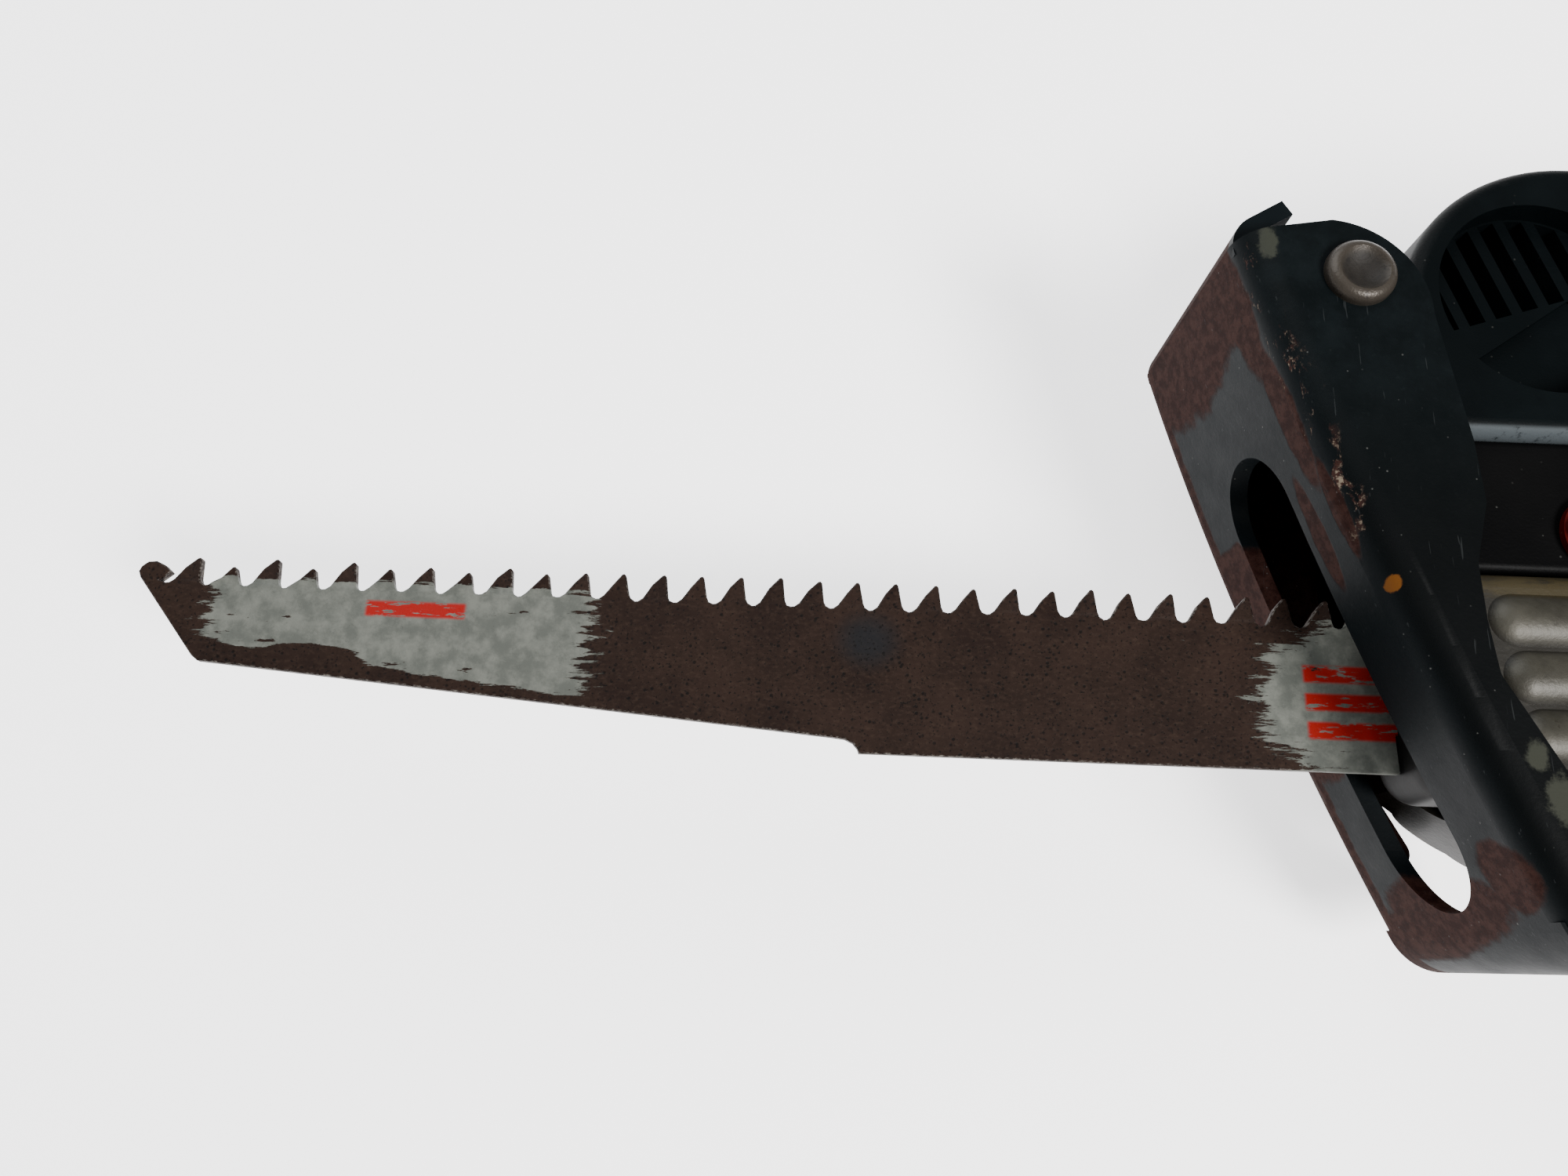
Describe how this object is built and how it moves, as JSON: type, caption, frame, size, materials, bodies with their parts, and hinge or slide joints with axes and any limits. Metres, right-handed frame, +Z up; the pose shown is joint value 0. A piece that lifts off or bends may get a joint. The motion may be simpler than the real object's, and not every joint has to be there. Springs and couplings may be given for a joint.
{
  "type": "reciprocating saw",
  "caption": "Corded D-handle reciprocating saw with a tilting stamped shoe and a stepped wood blade, lying on its left side.",
  "frame": {"origin": "centre of the flat pad on the motor casing's left side, which the saw rests on, straight below the motor axis", "axes": "+X forward along the ram to the blade's tip, +Y to the tool's top, the blade's spine side, +Z up, the tool's right side"},
  "size_m": [0.5311, 0.136, 0.068],
  "materials": {
    "casing_plastic": "fine moulded texture, worn",
    "black_plastic": "fine moulded texture",
    "red_plastic": "satin",
    "shoe_paint": "painted sheet steel, rusty where worn",
    "worn_steel": "worn steel",
    "blade_steel": "brown patina with remains of grey paint",
    "cast_aluminium": "as cast, grimy",
    "machined_steel": "machined",
    "bearing_steel": "ground",
    "bronze": "sintered bronze",
    "electrical_steel": "laminated",
    "copper": "enamelled copper",
    "carbon": "pressed carbon",
    "brass": "drawn brass",
    "rubber": "moulded",
    "screw_steel": "zinc plated"
  },
  "bodies": {
    "housing": {"right_shell": "casing_plastic", "left_shell": "casing_plastic", "right_front_cover": "casing_plastic", "left_front_cover": "casing_plastic", "housing_screws": "screw_steel", "gear_case": "cast_aluminium", "gear_case_screws": "screw_steel", "nose_casting": "cast_aluminium", "nose_sleeve": "black_plastic", "shoe_bracket": "machined_steel", "front_bushing": "bronze", "rear_bushing": "bronze", "motor_front_bearing": "bearing_steel", "motor_rear_bearing": "bearing_steel", "countershaft_front_bearing": "bearing_steel", "countershaft_rear_bearing": "bearing_steel", "stator_core": "electrical_steel", "field_coils": "copper", "brush_holders": "brass", "carbon_brushes": "carbon", "brush_springs": "machined_steel", "switch_body": "black_plastic", "trigger_pin": "machined_steel", "dial_axle": "machined_steel", "cable_gland": "rubber"},
    "shoe": {"shoe": "shoe_paint", "shoe_rivet": "worn_steel"},
    "ram": {"plunger": "machined_steel", "blade_clamp": "machined_steel", "clamp_screw": "screw_steel", "saw_blade": "blade_steel"},
    "armature": {"armature_shaft": "machined_steel", "armature_core": "electrical_steel", "armature_windings": "copper", "commutator": "copper", "cooling_fan": "black_plastic", "motor_pinion": "machined_steel"},
    "countershaft": {"countershaft": "machined_steel", "driven_gear": "machined_steel", "wobble_race": "bearing_steel"},
    "wobble_ring": {"wobble_ring": "machined_steel"},
    "trigger": {"trigger": "black_plastic"},
    "lock_button": {"lock_button": "black_plastic"},
    "speed_dial": {"speed_dial": "black_plastic"},
    "selector_knob": {"selector_knob": "red_plastic"}
  },
  "joints": [
    {"name": "armature_spin", "type": "hinge", "parent": "housing", "child": "armature", "pos_m": [0, 0, 0.034], "axis": [1, 0, 0], "continuous": true},
    {"name": "countershaft_spin", "type": "hinge", "parent": "housing", "child": "countershaft", "pos_m": [0.104, -0.0225, 0.034], "axis": [1, 0, 0], "continuous": true},
    {"name": "ram_stroke", "type": "slide", "parent": "housing", "child": "ram", "axis": [1, 0, 0], "range_m": [-0.02, 0]},
    {"name": "wobble_swing", "type": "hinge", "parent": "housing", "child": "wobble_ring", "pos_m": [0.104, -0.0225, 0.034], "axis": [0, 0, 1], "range_deg": [0, 29.5]},
    {"name": "shoe_pivot", "type": "hinge", "parent": "housing", "child": "shoe", "pos_m": [0.19, -0.0298, 0.034], "axis": [0, 0, 1], "range_deg": [-25, 0]},
    {"name": "trigger_pull", "type": "hinge", "parent": "housing", "child": "trigger", "pos_m": [-0.159, 0.004, 0.034], "axis": [0, 0, -1], "range_deg": [0, 8], "stiffness_Nm_per_rad": 2, "springref_deg": -5.73},
    {"name": "lock_press", "type": "slide", "parent": "housing", "child": "lock_button", "axis": [0, 0, -1], "range_m": [0, 0.003], "stiffness_N_per_m": 400, "springref_m": -0.002},
    {"name": "speed_dial_turn", "type": "hinge", "parent": "housing", "child": "speed_dial", "pos_m": [-0.13, 0.0455, 0.034], "axis": [0, 0, 1], "range_deg": [0, 270]},
    {"name": "selector_turn", "type": "hinge", "parent": "housing", "child": "selector_knob", "pos_m": [0.1625, 0.0013, 0.0495], "axis": [0, 0, 1], "range_deg": [0, 90]}
  ],
  "couplings": [
    {"joint": "countershaft_spin", "follows": "armature_spin", "ratio": -0.32353},
    {"joint": "wobble_swing", "follows": "ram_stroke", "rad_per_m": -25.641}
  ]
}
